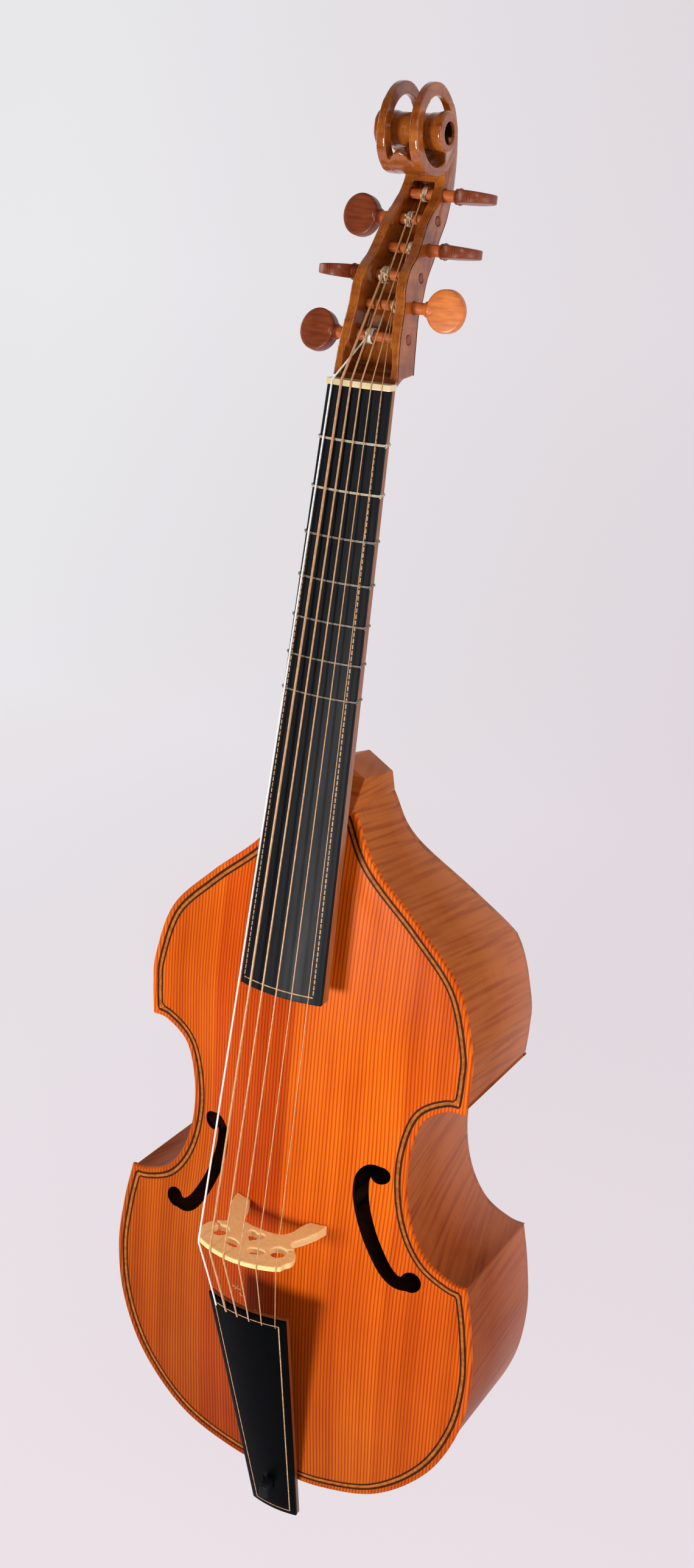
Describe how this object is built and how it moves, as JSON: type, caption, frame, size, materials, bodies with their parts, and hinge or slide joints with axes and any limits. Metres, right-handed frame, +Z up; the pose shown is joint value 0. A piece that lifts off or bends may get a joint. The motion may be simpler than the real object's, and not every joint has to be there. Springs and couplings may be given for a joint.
{
  "type": "bass viola da gamba",
  "caption": "Waisted bowed viol with an arched soundboard, C-shaped sound holes, tied gut frets, an open scroll, wooden tuning pegs and a hooked tailpiece.",
  "frame": {"origin": "on the outer face of the flat back, on the centre line, straight behind the bridge", "axes": "+Z up the neck, +Y out of the back, -Y out of the soundboard towards the strings, +X towards the treble strings"},
  "size_m": [0.355, 0.2189, 1.2104],
  "materials": {
    "top_spruce": "orange oil varnish over straight-grained spruce, glossy",
    "rib_maple": "brown varnish over flamed maple, glossy",
    "back_maple": "brown varnish over flamed maple, glossy",
    "inner_spruce": "bare wood",
    "neck_maple": "brown varnish, satin",
    "head_maple": "orange-brown varnish, glossy",
    "ebony": "black ebony veneer with a pale inlaid line, satin",
    "veneer_core": "brown varnished core",
    "hook_ebony": "black, polished",
    "nut_bone": "polished bone",
    "bridge_maple": "bare maple, oiled",
    "gut": "translucent gut",
    "silver_wound": "close-wound silver wire",
    "peg_wood": "reddish fruitwood, polished"
  },
  "bodies": {
    "instrument": {"soundboard": "top_spruce", "rib_upper_bass": "rib_maple", "rib_upper_treble": "rib_maple", "rib_waist_bass": "rib_maple", "rib_waist_treble": "rib_maple", "rib_lower_bass": "rib_maple", "rib_lower_treble": "rib_maple", "back_lower": "back_maple", "back_upper": "back_maple", "lining_upper_bass": "inner_spruce", "lining_upper_treble": "inner_spruce", "lining_waist_bass": "inner_spruce", "lining_waist_treble": "inner_spruce", "lining_lower_bass": "inner_spruce", "lining_lower_treble": "inner_spruce", "corner_block_upper_bass": "inner_spruce", "corner_block_upper_treble": "inner_spruce", "corner_block_lower_bass": "inner_spruce", "corner_block_lower_treble": "inner_spruce", "neck_block": "inner_spruce", "end_block": "inner_spruce", "bass_bar": "inner_spruce", "sound_post": "inner_spruce", "sound_post_plate": "inner_spruce", "back_bend_brace": "inner_spruce", "neck": "neck_maple", "head": "head_maple", "fingerboard_veneer": "ebony", "tailpiece_veneer": "ebony", "fingerboard_core": "veneer_core", "tailpiece_core": "veneer_core", "hook_bar": "hook_ebony", "nut": "nut_bone", "bridge": "bridge_maple", "string_2": "gut", "string_3": "gut", "string_4": "gut", "string_5": "gut", "string_6": "gut", "string_1": "silver_wound"},
    "peg_bass_1": {"peg_bass_1": "peg_wood", "winding_1": "silver_wound"},
    "peg_bass_2": {"peg_bass_2": "peg_wood", "winding_2": "gut"},
    "peg_bass_3": {"peg_bass_3": "peg_wood", "winding_3": "gut"},
    "peg_treble_3": {"peg_treble_3": "peg_wood", "winding_4": "gut"},
    "peg_treble_2": {"peg_treble_2": "peg_wood", "winding_5": "gut"},
    "peg_treble_1": {"peg_treble_1": "peg_wood", "winding_6": "gut"},
    "fret_1": {"fret_1": "gut"},
    "fret_2": {"fret_2": "gut"},
    "fret_3": {"fret_3": "gut"},
    "fret_4": {"fret_4": "gut"},
    "fret_5": {"fret_5": "gut"},
    "fret_6": {"fret_6": "gut"},
    "fret_7": {"fret_7": "gut"}
  },
  "joints": [
    {"name": "peg_bass_1_turn", "type": "hinge", "parent": "instrument", "child": "peg_bass_1", "pos_m": [0, -0.0803, 0.7163], "axis": [-1, 0, 0], "continuous": true},
    {"name": "peg_bass_2_turn", "type": "hinge", "parent": "instrument", "child": "peg_bass_2", "pos_m": [0, -0.0617, 0.7591], "axis": [-1, 0, 0], "continuous": true},
    {"name": "peg_bass_3_turn", "type": "hinge", "parent": "instrument", "child": "peg_bass_3", "pos_m": [0, -0.0365, 0.7988], "axis": [-1, 0, 0], "continuous": true},
    {"name": "peg_treble_3_turn", "type": "hinge", "parent": "instrument", "child": "peg_treble_3", "pos_m": [0, -0.026, 0.8168], "axis": [1, 0, 0], "continuous": true},
    {"name": "peg_treble_2_turn", "type": "hinge", "parent": "instrument", "child": "peg_treble_2", "pos_m": [0, -0.049, 0.7785], "axis": [1, 0, 0], "continuous": true},
    {"name": "peg_treble_1_turn", "type": "hinge", "parent": "instrument", "child": "peg_treble_1", "pos_m": [0, -0.072, 0.7386], "axis": [1, 0, 0], "continuous": true},
    {"name": "fret_1_slide", "type": "slide", "parent": "instrument", "child": "fret_1", "axis": [0, 0.1272, 0.9919], "range_m": [-0.004, 0.004]},
    {"name": "fret_2_slide", "type": "slide", "parent": "instrument", "child": "fret_2", "axis": [0, 0.1272, 0.9919], "range_m": [-0.004, 0.004]},
    {"name": "fret_3_slide", "type": "slide", "parent": "instrument", "child": "fret_3", "axis": [0, 0.1272, 0.9919], "range_m": [-0.004, 0.004]},
    {"name": "fret_4_slide", "type": "slide", "parent": "instrument", "child": "fret_4", "axis": [0, 0.1272, 0.9919], "range_m": [-0.004, 0.004]},
    {"name": "fret_5_slide", "type": "slide", "parent": "instrument", "child": "fret_5", "axis": [0, 0.1272, 0.9919], "range_m": [-0.004, 0.004]},
    {"name": "fret_6_slide", "type": "slide", "parent": "instrument", "child": "fret_6", "axis": [0, 0.1272, 0.9919], "range_m": [-0.004, 0.004]},
    {"name": "fret_7_slide", "type": "slide", "parent": "instrument", "child": "fret_7", "axis": [0, 0.1272, 0.9919], "range_m": [-0.004, 0.004]}
  ]
}
